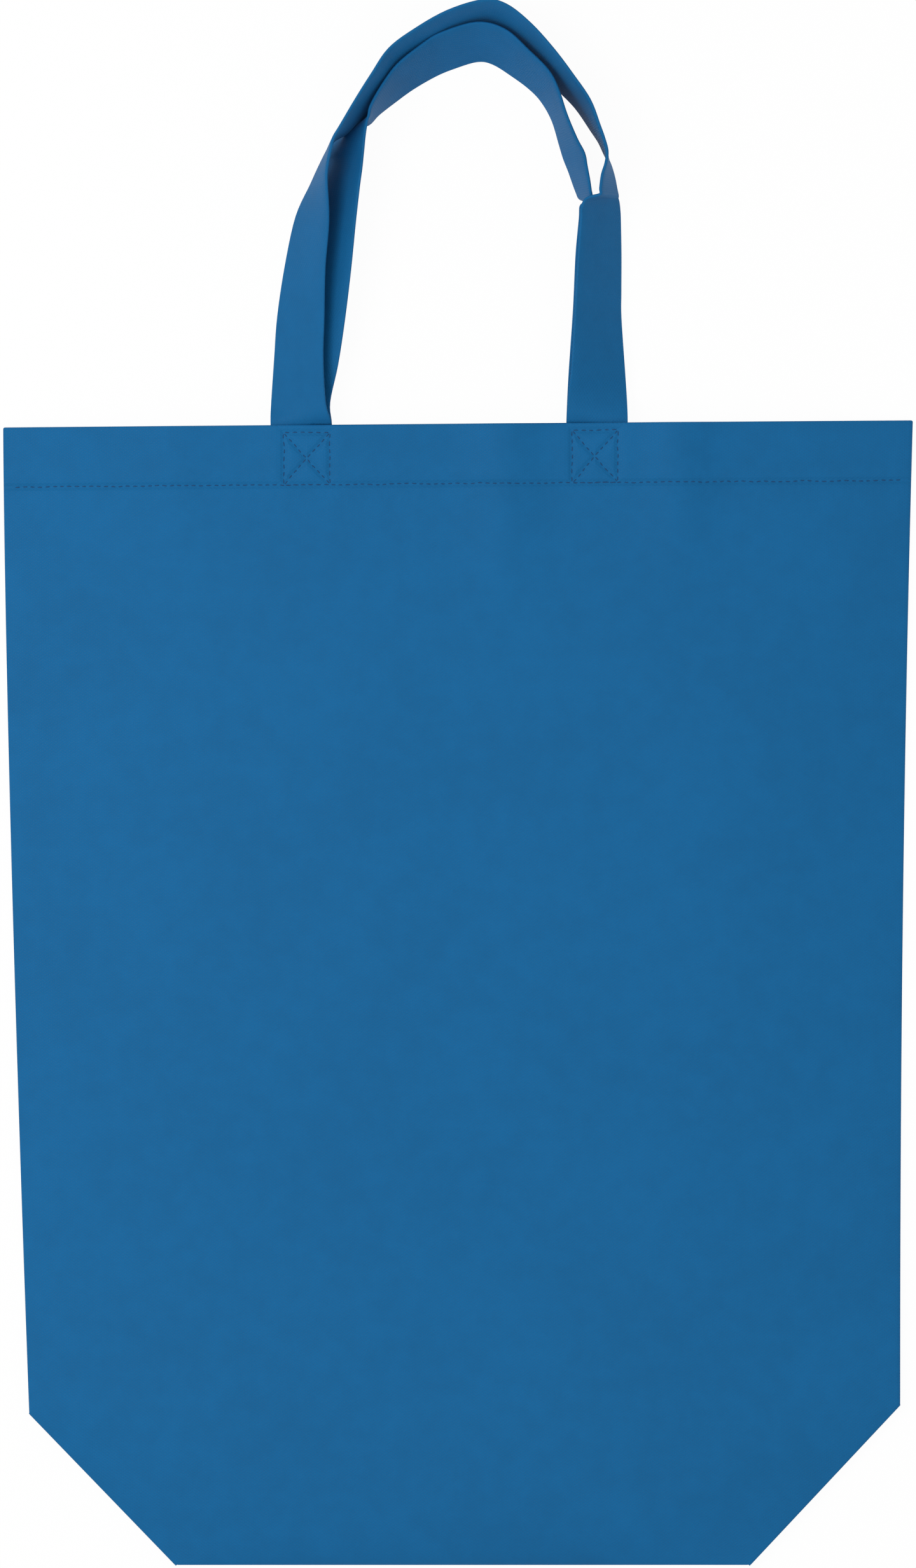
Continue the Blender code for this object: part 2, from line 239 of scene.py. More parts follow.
@dataclass(frozen=True)
class SpunbondFinish:
    """Dyed polypropylene spunbond: matt between its welds and a little shinier on them."""

    name: str
    colour: tuple[float, float, float]
    web: SpunbondWeb = SpunbondWeb()
    cloud_contrast: float = 0.06
    weld_darkening: float = 0.06
    roughness: float = 0.72
    weld_roughness: float = 0.52
    sheen: float = 0.03
    sheen_roughness: float = 0.45
    density_range: tuple[float, float] = (0.25, 0.75)
    specular: float = 0.18

    def material(self, coordinates: str, pucker: "StitchPucker | None" = None) -> Material:
        """Builds the cloth's material.

        Args:
            coordinates: The Texture Coordinate output that the web follows, UV or Object.
            pucker: The dents of the sewing rows, for a piece that has them.
        """
        made = bpy.data.materials.new(self.name)
        made.use_nodes = True
        graph = Graph(made.node_tree)
        shader = made.node_tree.nodes["Principled BSDF"]
        source = graph.node("ShaderNodeTexCoord")
        web = graph.node("ShaderNodeGroup", node_tree=self.web.group())
        graph.feed(web.inputs["Vector"], source.outputs[coordinates])
        thin, thick = 1 - self.cloud_contrast, 1 + self.cloud_contrast
        tone = graph.between(web.outputs["Density"], *self.density_range, thin, thick)
        welded = graph.math("MULTIPLY", web.outputs["Welds"], self.weld_darkening)
        tone = graph.math("SUBTRACT", tone, welded)
        height = web.outputs["Height"]
        if pucker:
            height = graph.math("ADD", height, pucker.height(graph, source.outputs["Object"]))
        tinted = graph.vector_math("SCALE", self.colour)
        graph.feed(tinted.node.inputs["Scale"], tone)
        graph.feed(shader.inputs["Base Color"], tinted)
        shine = graph.between(web.outputs["Welds"], 0.0, 1.0, self.roughness, self.weld_roughness)
        graph.feed(shader.inputs["Roughness"], shine)
        bump = graph.node("ShaderNodeBump", {"Height": height, "Strength": 1.0, "Distance": 1.0})
        graph.feed(shader.inputs["Normal"], bump.outputs["Normal"])
        shader.inputs["Specular IOR Level"].default_value = self.specular
        shader.inputs["Sheen Weight"].default_value = self.sheen
        shader.inputs["Sheen Roughness"].default_value = self.sheen_roughness
        return made


@dataclass(frozen=True)
class ThreadFinish:
    """Twisted polyester sewing thread, with painted shade in the grooves between its plies."""

    name: str
    colour: tuple[float, float, float]
    twists: float = 4.0
    groove: float = 0.00003
    # painted shade: how far the base colour is scaled in the ply grooves and on the ply crowns
    painted_groove_shade: tuple[float, float] = (0.78, 1.06)
    roughness: float = 0.55
    specular: float = 0.3

    def material(self) -> Material:
        """Builds the thread's material; its UV map runs along and round each stitch."""
        made = bpy.data.materials.new(self.name)
        made.use_nodes = True
        graph = Graph(made.node_tree)
        shader = made.node_tree.nodes["Principled BSDF"]
        place = graph.node("ShaderNodeTexCoord").outputs["UV"]
        split = graph.node("ShaderNodeSeparateXYZ", {"Vector": place})
        along = graph.math("MULTIPLY", split.outputs["X"], self.twists)
        lay = graph.math("MULTIPLY", graph.math("ADD", along, split.outputs["Y"]), math.tau)
        ply = graph.math("SINE", lay)
        # painted shade: the colour darkens where the ply height dips, in the grooves between plies
        tone = graph.between(ply, -1.0, 1.0, *self.painted_groove_shade)
        tinted = graph.vector_math("SCALE", self.colour)
        graph.feed(tinted.node.inputs["Scale"], tone)
        graph.feed(shader.inputs["Base Color"], tinted)
        height = graph.math("MULTIPLY", ply, self.groove)
        bump = graph.node("ShaderNodeBump", {"Height": height, "Strength": 1.0, "Distance": 1.0})
        graph.feed(shader.inputs["Normal"], bump.outputs["Normal"])
        shader.inputs["Roughness"].default_value = self.roughness
        shader.inputs["Specular IOR Level"].default_value = self.specular
        return made


@dataclass(frozen=True)
class BagSizes:
    """The bag laid flat.

    Shares down run from 0 at the mouth, past 1 at the gusset's corners, to 2 at the base.
    """

    mouth_width: float = 0.360
    height: float = 0.4515
    base_width: float = 0.2273
    gusset_depth: float = 0.120
    hem: float = 0.028
    mouth_slant: float = 0.0028
    right_corner_rise: float = 0.0034
    left_draw_in: float = 0.0103
    right_draw_in: float = 0.0050
    base_shift: float = 0.0019
    cloth: float = 0.00045
    layer_gap: float = 0.00045
    fold_bulge: float = 0.00045
    seam_height: float = 0.0016
    back_edge_lift: float = 0.0006
    mouth_opening: float = 0.0082
    front_puff: float = 0.0120
    corner_puff: float = 0.0085
    gusset_spread: float = 0.0008
    stitch_inset: float = 0.0237
    square_width: float = 0.0182
    square_height: float = 0.0207
    handle_shift: float = -0.0035
    strap_spacing: float = 0.1172
    square_shift: float = -0.0028
    square_spacing: float = 0.1139
    strap_length: float = 0.435
    bottom: float = field(default_factory=lambda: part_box("bag_body")[0][1])

    @property
    def mouth(self) -> float:
        """The mouth's place along Y, at its middle."""
        return self.bottom + self.height

    @property
    def corner(self) -> float:
        """The gusset's corners along Y."""
        return self.bottom + self.gusset_depth / 2

    @property
    def length(self) -> float:
        """The panel from the mouth to the gusset's corners."""
        return self.mouth - self.corner

    @property
    def layer(self) -> float:
        """From one cloth layer's middle to the next one's."""
        return self.cloth + self.layer_gap

    @property
    def fold_reach(self) -> float:
        """How far a fold's outside lies beyond the layers' ends."""
        return self.fold_bulge + self.cloth / 2

    @property
    def flat_length(self) -> float:
        """The strip that the body is folded from, hem to hem."""
        return 2 * (self.height + self.hem) + self.gusset_depth

    def mouth_at(self, x: float) -> float:
        """Returns the mouth's place along Y, which slants a little."""
        return self.mouth + self.mouth_slant / 2 * x / (self.mouth_width / 2)


@dataclass(frozen=True)
class StitchPucker:
    """Dents where the hem rows and the crossed squares draw the cloth in, and its swell between them."""

    sizes: BagSizes
    pitch: float = 0.0029
    depth: float = 0.00042
    width: float = 0.0009
    swell: float = 0.00035
    reach: float = 0.0035
    patch: float = 1.6

    def height(self, graph: Graph, place: NodeSocket) -> NodeSocket:
        """Returns the height over the cloth round the rows, for a place in metres."""
        split = graph.node("ShaderNodeSeparateXYZ", {"Vector": place})
        x, y = split.outputs["X"], split.outputs["Y"]
        slant = self.sizes.mouth_slant / self.sizes.mouth_width
        row = graph.math("MULTIPLY_ADD", x, slant, self.sizes.mouth - self.sizes.stitch_inset)
        above = graph.math("SUBTRACT", y, row)
        hem = graph.math("ABSOLUTE", above)
        away = graph.math("MINIMUM", hem, self.square(graph, x, above))
        groove = graph.between(away, 0.0, self.width * 2, 1.0, 0.0)
        swell = graph.between(away, self.width, self.reach, 0.0, 1.0)
        fading = graph.between(away, self.reach, self.reach * 3, 1.0, 0.0)
        uneven = graph.noise(place, self.pitch * self.patch, 1.0)
        dent = graph.math("MULTIPLY", groove, -self.depth)
        raised = graph.math("MULTIPLY", graph.math("MULTIPLY", swell, fading), uneven)
        return graph.math("ADD", dent, graph.math("MULTIPLY", raised, self.swell))

    def square(self, graph: Graph, x: NodeSocket, above: NodeSocket) -> NodeSocket:
        """Returns the distance to the nearer crossed square's stitches.

        Args:
            graph: The material's nodes.
            x: The place along the mouth.
            above: How far over the hem row it is.
        """
        s = self.sizes
        side = graph.math("ABSOLUTE", graph.math("SUBTRACT", x, s.square_shift))
        dx = graph.math("ABSOLUTE", graph.math("SUBTRACT", side, s.square_spacing / 2))
        dy = graph.math("ABSOLUTE", graph.math("SUBTRACT", above, s.square_height / 2))
        beyond_x = graph.math("SUBTRACT", dx, s.square_width / 2)
        beyond_y = graph.math("SUBTRACT", dy, s.square_height / 2)
        outside = graph.math("MAXIMUM", beyond_x, beyond_y)
        frame_line = graph.math("ABSOLUTE", outside)
        diagonal = math.hypot(s.square_width, s.square_height)
        across = graph.math("MULTIPLY", dx, s.square_height / diagonal)
        along = graph.math("MULTIPLY", dy, s.square_width / diagonal)
        cross = graph.math("ABSOLUTE", graph.math("SUBTRACT", across, along))
        crossing = graph.math("MAXIMUM", cross, outside)
        return graph.math("MINIMUM", frame_line, crossing)


@dataclass
class ClothPiece:
    """A piece of cloth made as a middle surface that is then given its thickness."""

    name: str
    thickness: float

    def finish(self, sheet: BMesh, material: Material, angle: float = 50.0) -> Object:
        """Turns a middle surface into a closed piece of cloth.

        Args:
            sheet: The middle surface, facing out.
            material: The finish of the whole piece.
            angle: Edges sharper than this, in degrees, stay crisp.

        Returns:
            The object, at the origin, with its thickness applied.
        """
        data = bpy.data.meshes.new(self.name)
        sheet.to_mesh(data)
        sheet.free()
        data.materials.append(material)
        piece = bpy.data.objects.new(self.name, data)
        bpy.context.collection.objects.link(piece)
        deselect_all()
        piece.select_set(True)
        bpy.context.view_layer.objects.active = piece
        wall = piece.modifiers.new("Cloth", "SOLIDIFY")
        wall.thickness = self.thickness
        wall.offset = 0.0
        bpy.ops.object.modifier_apply(modifier=wall.name)
        bpy.ops.object.shade_smooth_by_angle(angle=math.radians(angle))
        return piece


Parts = dict[str, list[BMVert]]


@dataclass
class BagBody:
    """The body: one sheet folded into hem, front panel, gusset, back panel and hem.

    Shares across run from -1 at the left side edge to 1 at the right one.
    """

    sizes: BagSizes
    columns: int = 112
    hem_rows: int = 14
    fine_row: float = 0.0018
    fine_reach: float = 0.032
    coarse_row: float = 0.0052
    gusset_rows: int = 18
    fold_steps: int = 6
    side_crowding: float = 0.86
    left_curve: float = 1.4
    right_curve: float = 2.2
    corner_curve: float = 2.5
    edge_run: float = 0.15
    fullest: float = 0.4
    lift_from: float = 0.75
    soft_folds: tuple[tuple[float, float, float], ...] = (
        (-0.112, 0.0012, 0.060),
        (0.018, 0.0036, 0.085),
        (0.087, 0.0042, 0.075),
    )
    soft_fold_width: float = 0.0085
    corner_crease: tuple[float, float, float, float] = (0.0604, -0.2997, 0.1385, -0.2571)
    crease_height: float = 0.0010
    crease_width: float = 0.0060
    crease_fade: float = 0.15
    wave_size: float = 0.055
    wave_height: float = 0.0010
    wave_slice: float = 0.31
    ripple_size: float = 0.016
    ripple_height: float = 0.00010
    ripple_slice: float = 0.87
    shares: list[float] = field(init=False)

    def __post_init__(self) -> None:
        """Works out the columns, closer together towards the side edges."""
        quarter = math.pi / 2 * self.side_crowding
        even = [2 * i / self.columns - 1 for i in range(self.columns + 1)]
        self.shares = [math.sin(quarter * share) / math.sin(quarter) for share in even]

    def side_x(self, side: int, down: float) -> float:
        """Returns the outline's x on the left (-1) or right (1) side."""
        s = self.sizes
        fall = min(down, 1.0)
        if side < 0:
            upper = -s.mouth_width / 2 + s.left_draw_in * fall**self.left_curve
        else:
            upper = s.mouth_width / 2 - s.right_draw_in * (1 - (1 - fall) ** self.right_curve)
        if down <= 1:
            return upper
        return mix(upper, s.base_shift + side * s.base_width / 2, down - 1)

    def side_y(self, side: int, down: float) -> float:
        """Returns the outline's y on one side."""
        s = self.sizes
        corner = s.corner + (s.right_corner_rise if side > 0 else 0.0)
        if down <= 1:
            return mix(s.mouth + side * s.mouth_slant / 2, corner, down)
        return mix(corner, s.bottom, down - 1)

    def edge_height(self, down: float) -> float:
        """Returns how far the front lies over the back at the side edges."""
        stack = 3 * self.sizes.layer
        if down >= 1:
            return stack
        share = smooth(down / self.edge_run) * smooth((1 - down) / self.edge_run)
        return mix(stack, self.sizes.seam_height, share)

    def puff(self, down: float) -> float:
        """Returns how far the front panel stands off at its middle."""
        s = self.sizes
        if down <= self.fullest:
            return mix(s.mouth_opening, s.front_puff, smooth(down / self.fullest))
        if down <= 1:
            return mix(s.front_puff, s.corner_puff, smooth((down - self.fullest) / (1 - self.fullest)))
        return s.corner_puff * math.sqrt(max(0.0, 1 - (down - 1) ** self.corner_curve))

    def back_height(self, across: float) -> float:
        """Returns the back panel's height: flat on the ground, lifting towards its side edges."""
        lift = smooth((abs(across) - self.lift_from) / (1 - self.lift_from))
        return self.sizes.cloth / 2 + self.sizes.back_edge_lift * lift

    def corner_fold(self, x: float, y: float) -> float:
        """Returns the soft crease that runs beside the right cut corner."""
        x0, y0, x1, y1 = self.corner_crease
        run, climb = x1 - x0, y1 - y0
        length = math.hypot(run, climb)
        along = ((x - x0) * run + (y - y0) * climb) / length**2
        off = ((y - y0) * run - (x - x0) * climb) / length
        fade = self.crease_fade
        ends = smooth((along + fade) / (2 * fade)) * smooth((1 + fade - along) / (2 * fade))
        return self.crease_height * bell(off, self.crease_width) * ends

    def front_relief(self, x: float, y: float) -> float:
        """Returns the folds and waves of the loose front panel."""
        fall = self.sizes.mouth - y
        folds = 0.0
        for crest, height, length in self.soft_folds:
            folds += height * bell(x - crest, self.soft_fold_width) * (1 - smooth(fall / length))
        waves = self.wave_height * noise.noise(Vector((x, y, self.wave_slice)) / self.wave_size)
        ripples = self.ripple_height * noise.noise(Vector((x, y, self.ripple_slice)) / self.ripple_size)
        return folds + self.corner_fold(x, y) + (waves + ripples) * smooth(fall / self.fine_reach)

    def front_height(self, across: float, x: float, y: float, down: float) -> float:
        """Returns the front panel's height over the ground."""
        profile = 1 - abs(across) ** 3
        loose = profile * (1.0 if down <= 1 else math.sqrt(max(0.0, 2 - down)))
        rise = self.puff(down) * profile + self.front_relief(x, y) * loose
        return self.back_height(across) + self.edge_height(down) + rise

    def place(self, across: float, down: float, inset: float = 0.0) -> tuple[float, float]:
        """Returns x and y on the sheet; inset draws its side edges in."""
        reach = self.sizes.fold_reach
        ends = []
        for side in (-1, 1):
            ends.append((self.side_x(side, down) - side * (reach + inset), self.side_y(side, down)))
        share = (across + 1) / 2
        x = mix(ends[0][0], ends[1][0], share)
        y = mix(ends[0][1], ends[1][1], share)
        if down in (0.0, 2.0):
            y += reach if down else -reach
        return x, y

    def front_point(self, across: float, down: float, depth: float = 0.0, forward: float = 0.0) -> Vector:
        """Returns a point of the front panel, or of the hem ply that lies depth under it."""
        x, y = self.place(across, down, depth)
        return Vector((x, y + forward, self.front_height(across, x, y, down) - depth))

    def back_point(self, across: float, down: float, depth: float = 0.0, forward: float = 0.0) -> Vector:
        """Returns a point of the back panel, or of the hem ply that lies depth over it."""
        x, y = self.place(across, down, depth)
        return Vector((x, y + forward, self.back_height(across) + depth))

    def gusset_point(self, across: float, down: float, layer: int) -> Vector:
        """Returns a point of the gusset: layer 1 lies on the back panel, and layer 2 on layer 1."""
        x, y = self.place(across, down)
        spread = self.sizes.gusset_spread * (1 - across**4) * (layer - 1)
        return Vector((x, y, self.back_height(across) + layer * self.sizes.layer + spread))

    def panel_point(self, x: float, fall: float, panel: Panel, depth: float = 0.0) -> Vector:
        """Returns the middle of a panel's cloth near the mouth.

        Args:
            x: The place along the mouth.
            fall: How far below the mouth's edge it is.
            panel: Which of the two panels.
            depth: How far towards the bag's inside.
        """
        s = self.sizes
        y = s.mouth_at(x) - fall
        down = max(fall, 0.0) / s.length
        left = self.side_x(-1, down) + s.fold_reach
        right = self.side_x(1, down) - s.fold_reach
        across = 2 * (x - left) / (right - left) - 1
        if panel is Panel.FRONT:
            return Vector((x, y, self.front_height(across, x, y, down) - depth))
        return Vector((x, y, self.back_height(across) + depth))

    def tube_rows(self) -> list[tuple[float, float, float]]:
        """Returns down, depth and forward of each row, from the hem's cut edge to the corners."""
        s = self.sizes
        rows = [(s.hem * i / self.hem_rows / s.length, s.layer, 0.0) for i in range(self.hem_rows, 0, -1)]
        for i in range(self.fold_steps, -1, -1):
            angle = math.pi * i / self.fold_steps
            rows.append((0.0, s.layer / 2 * (1 - math.cos(angle)), s.fold_bulge * math.sin(angle)))
        fine = round(self.fine_reach / self.fine_row)
        rows += [(self.fine_row * i / s.length, 0.0, 0.0) for i in range(1, fine + 1)]
        start = self.fine_row * fine
        coarse = round((s.length - start) / self.coarse_row)
        rows += [(mix(start / s.length, 1.0, i / coarse), 0.0, 0.0) for i in range(1, coarse + 1)]
        return rows

    def fold(self, start: Vector, end: Vector, outward: Vector) -> list[Vector]:
        """Returns the points between two edges along the half-round fold that joins them."""
        middle = (start + end) / 2
        points = []
        for i in range(1, self.fold_steps):
            angle = math.pi * i / self.fold_steps
            bulge = outward * self.sizes.fold_bulge * math.sin(angle)
            points.append(middle + (start - middle) * math.cos(angle) + bulge)
        return points

    @staticmethod
    def bridge(mesh: BMesh, first: list[BMVert], second: list[BMVert], closed: bool = False) -> None:
        """Adds faces between two rows of vertices."""
        for i in range(len(first) if closed else len(first) - 1):
            j = (i + 1) % len(first)
            mesh.faces.new((first[i], first[j], second[j], second[i]))

    def ring(
        self, mesh: BMesh, upper: list[Vector], lower: list[Vector], ways: tuple[Vector, Vector]
    ) -> Parts:
        """Adds a row once round the flat tube: its upper and lower points and the folds at both ends."""
        left, right = ways
        return {
            "upper": [mesh.verts.new(p) for p in upper],
            "right": [mesh.verts.new(p) for p in self.fold(upper[-1], lower[-1], right)],
            "lower": [mesh.verts.new(p) for p in lower],
            "left": [mesh.verts.new(p) for p in self.fold(upper[0], lower[0], left)],
        }

    @staticmethod
    def loop(parts: Parts) -> list[BMVert]:
        """Returns a ring's vertices in order, once round."""
        return parts["upper"] + parts["right"] + parts["lower"][::-1] + parts["left"][::-1]

    def corner_ways(self) -> tuple[Vector, Vector]:
        """Returns which way the folds along the cut corners bulge, left and right."""
        found = []
        for side in (-1, 1):
            run_x = self.side_x(side, 2) - self.side_x(side, 1)
            run_y = self.side_y(side, 2) - self.side_y(side, 1)
            found.append(Vector((-run_y * side, run_x * side, 0)).normalized())
        return found[0], found[1]

    def corner_patch(self, mesh: BMesh, side: list[BMVert], front: list[BMVert], ridge: list[BMVert],
                     back: list[BMVert]) -> None:
        """Closes the small opening where the side fold, both corner folds and the gusset's ridge meet.

        Args:
            mesh: The sheet.
            side: The side fold's end, from the front panel to the back one.
            front: The front corner fold's end, from its panel to its gusset layer.
            ridge: The ridge's end, from the front gusset layer to the back one.
            back: The back corner fold's end, from its panel to its gusset layer.
        """
        n = self.fold_steps
        grid: list[list] = [[None] * (n + 1) for _ in range(n + 1)]
        for i in range(n + 1):
            grid[i][0] = side[i]
            grid[i][n] = ridge[i]
            grid[0][i] = front[i]
            grid[n][i] = back[i]
        for i in range(1, n):
            for j in range(1, n):
                a, b = i / n, j / n
                ruled = mix(grid[i][0].co, grid[i][n].co, b) + mix(grid[0][j].co, grid[n][j].co, a)
                low = mix(grid[0][0].co, grid[n][0].co, a)
                high = mix(grid[0][n].co, grid[n][n].co, a)
                grid[i][j] = mesh.verts.new(ruled - mix(low, high, b))
        for i in range(n):
            self.bridge(mesh, grid[i], grid[i + 1])

    def pocket(self, mesh: BMesh, top: list[BMVert], panel: Panel, ways: tuple[Vector, Vector]) -> Parts:
        """Adds one half of the base: the panel's lower end and the gusset layer folded up inside it.

        Args:
            mesh: The sheet.
            top: The panel's row at the gusset's corners.
            panel: Which panel it is.
            ways: The bulge directions of the corner folds.

        Returns:
            The ring at the gusset's corners, by its sides.
        """
        point = self.front_point if panel is Panel.FRONT else self.back_point
        layer = 2 if panel is Panel.FRONT else 1
        south = Vector((0, -1, 0))
        gusset = [mesh.verts.new(self.gusset_point(c, 1.0, layer)) for c in self.shares]
        first: Parts = {"upper": top, "lower": gusset}
        for name, end, outward in (("left", 0, ways[0]), ("right", -1, ways[1])):
            first[name] = [mesh.verts.new(p) for p in self.fold(top[end].co, gusset[end].co, outward)]
        previous = first
        for i in range(1, self.gusset_rows + 1):
            last = i == self.gusset_rows
            down = 2.0 if last else 1 + math.sin(math.pi / 2 * i / self.gusset_rows)
            turned = tuple((way + south).normalized() for way in ways) if last else ways
            upper = [point(c, down) for c in self.shares]
            lower = [self.gusset_point(c, down, layer) for c in self.shares]
            current = self.ring(mesh, upper, lower, turned)
            self.bridge(mesh, self.loop(previous), self.loop(current), closed=True)
            previous = current
        rows = [previous["upper"]]
        inner = [
            self.fold(a.co, b.co, south) for a, b in zip(previous["upper"][1:-1], previous["lower"][1:-1])
        ]
        for i in range(self.fold_steps - 1):
            row = [mesh.verts.new(points[i]) for points in inner]
            rows.append([previous["left"][i], *row, previous["right"][i]])
        rows.append(previous["lower"])
        for upper_row, lower_row in zip(rows, rows[1:]):
            self.bridge(mesh, upper_row, lower_row)
        return first

    def sheet(self) -> BMesh:
        """Returns the folded sheet's middle surface, open at the hem's cut edge."""
        mesh = bmesh.new()
        sideways = (Vector((-1, 0, 0)), Vector((1, 0, 0)))
        previous: Parts = {}
        for down, depth, forward in self.tube_rows():
            upper = [self.front_point(c, down, depth, forward) for c in self.shares]
            lower = [self.back_point(c, down, depth, forward) for c in self.shares]
            current = self.ring(mesh, upper, lower, sideways)
            if previous:
                self.bridge(mesh, self.loop(previous), self.loop(current), closed=True)
            previous = current
        ways = self.corner_ways()
        front = self.pocket(mesh, previous["upper"], Panel.FRONT, ways)
        back = self.pocket(mesh, previous["lower"], Panel.BACK, ways)
        crest = [self.fold(a.co, b.co, Vector((0, 1, 0))) for a, b in zip(front["lower"], back["lower"])]
        ridge = [front["lower"]]
        for i in range(self.fold_steps - 1):
            ridge.append([mesh.verts.new(points[i]) for points in crest])
        ridge.append(back["lower"])
        for upper_row, lower_row in zip(ridge, ridge[1:]):
            self.bridge(mesh, upper_row, lower_row)
        for name, end in (("left", 0), ("right", -1)):
            self.corner_patch(
                mesh,
                [previous["upper"][end], *previous[name], previous["lower"][end]],
                [front["upper"][end], *front[name], front["lower"][end]],
                [row[end] for row in ridge],
                [back["upper"][end], *back[name], back["lower"][end]],
            )
        bmesh.ops.recalc_face_normals(mesh, faces=mesh.faces)
        mesh.normal_update()
        under = min(mesh.faces, key=lambda f: f.calc_center_median().z)
        if under.normal.z > 0:
            bmesh.ops.reverse_faces(mesh, faces=mesh.faces)
        return mesh

    def build(self, material: Material) -> Object:
        """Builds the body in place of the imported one."""
        piece = ClothPiece("bag_cloth", self.sizes.cloth).finish(self.sheet(), material)
        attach(piece, ROOT)
        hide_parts("bag_body")
        return piece


@dataclass(frozen=True)
class PhotoScale:
    """Where the photograph's pixels lie on the bag: their size, the middle's column, the mouth's row."""

    pixel: float = 0.00025175
    middle_column: float = 720.0
    mouth_row: float = 667.06

    def place(self, column: float, row: float, mouth: float) -> Vector:
        """Returns a pixel's x and y, with the mouth's y given."""
        x = (column - self.middle_column) * self.pixel
        return Vector((x, mouth + (self.mouth_row - row) * self.pixel))


@dataclass(frozen=True)
class Lean:
    """A place on a strap's leg, by its middle and how steeply it leans.

    across is a share of the strap spacing, beyond a share of the handle's rise, tilt is in degrees,
    and foot, the lower edge's height, is a share of the strap's width.
    """

    across: float
    beyond: float
    tilt: float
    foot: float = 0.033


@dataclass(frozen=True)
class Seen:
    """A place in a strap's arch, by the photograph's pixels at which its cut edge and its fold lie.

    They are read off where the strap shows and chosen where the other one hides it. foot, the
    lower edge's height, is in millimetres.
    """

    cut_column: float
    cut_row: float
    fold_column: float
    fold_row: float
    foot: float = 0.8


Route = tuple[Lean | Seen, ...]

FRONT_ROUTE: Route = (
    Lean(-0.508, 0.048, 28, 0.184),
    Lean(-0.507, 0.154, 38, 0.090),
    Lean(-0.500, 0.252, 41, 0.065),
    Lean(-0.485, 0.373, 50, 0.045),
    Lean(-0.461, 0.486, 58, 0.037),
    Seen(489, 292, 514, 284, 1.0),
    Seen(501, 266, 516, 258, 3.0),
    Seen(514, 240, 521, 234, 4.5),
    Seen(525, 222, 525, 219, 7.5),
    Seen(550, 208, 536, 200, 8.2),
    Seen(588, 177, 559, 160, 8.5),
    Seen(618, 141, 584, 120, 8.5),
    Seen(644, 112, 611, 80, 8.0),
    Seen(678, 92, 650, 50, 7.3),
    Seen(723, 64, 703, 20, 6.8),
    Seen(760, 51, 760, 3, 7.3),
    Seen(771.5, 53.6, 796, 10, 7.0),
    Seen(805, 70.4, 834, 40, 6.5),
    Seen(840.7, 104, 870, 80, 5.5),
    Seen(873.8, 138.3, 900, 120, 6.0),
    Seen(905, 170, 927, 160, 4.5),
    Seen(930, 206, 942, 200, 3.0),
    Seen(942, 224, 949, 220, 2.5),
    Seen(950, 241, 954, 240, 2.5),
    Seen(959, 260, 952, 258, 2.5),
    Seen(965, 280, 946, 277, 3.0),
    Seen(969, 300, 943, 298, 4.0),
    Seen(971, 309, 942, 308, 5.0),
    Seen(972, 315, 921, 314, 5.4),
    Seen(974, 330, 913, 329, 5.4),
    Lean(0.510, 0.486, 50, 0.160),
    Lean(0.507, 0.403, 46, 0.100),
    Lean(0.503, 0.313, 43, 0.105),
    Lean(0.501, 0.252, 41, 0.125),
    Lean(0.502, 0.131, 30, 0.171),
    Lean(0.501, 0.071, 20, 0.184),
)
REAR_ROUTE: Route = (
    Lean(-0.498, 0.071, 15),
    Lean(-0.463, 0.154, 30),
    Lean(-0.436, 0.252, 36),
    Lean(-0.407, 0.373, 43),
    Lean(-0.382, 0.486, 50),
    Lean(-0.360, 0.570, 56),
    Lean(-0.349, 0.612, 58),
    Seen(515, 246, 572, 238),
    Seen(524, 225, 574, 216),
    Seen(538, 211, 576, 201),
    Seen(558, 201, 578, 190),
    Seen(579, 196, 580, 183),
    Seen(595, 180, 583.6, 167.4),
    Seen(621, 160, 602, 134.3),
    Seen(649, 140, 625.4, 102.9),
    Seen(684, 120, 662, 73),
    Seen(713, 108, 691.8, 54),
    Seen(750, 97, 750, 37),
    Seen(775, 101, 794.5, 48.5),
    Seen(806, 120, 831, 81.4),
    Seen(833, 140, 862, 113),
    Seen(852, 160, 877, 142),
    Seen(869, 190, 890, 182),
    Seen(881, 230, 906, 220),
    Seen(887, 250, 918, 243),
    Seen(895, 270, 922, 264),
    Seen(902, 290, 926, 286),
    Seen(907, 303, 928, 301),
    Seen(912, 313, 929, 311),
    Seen(925, 318, 920, 319),
    Seen(945, 326, 912, 326),
    Lean(0.499, 0.486, 55),
    Lean(0.499, 0.403, 47),
    Lean(0.498, 0.313, 43),
    Lean(0.497, 0.252, 40),
    Lean(0.495, 0.131, 30),
    Lean(0.498, 0.071, 19),
)


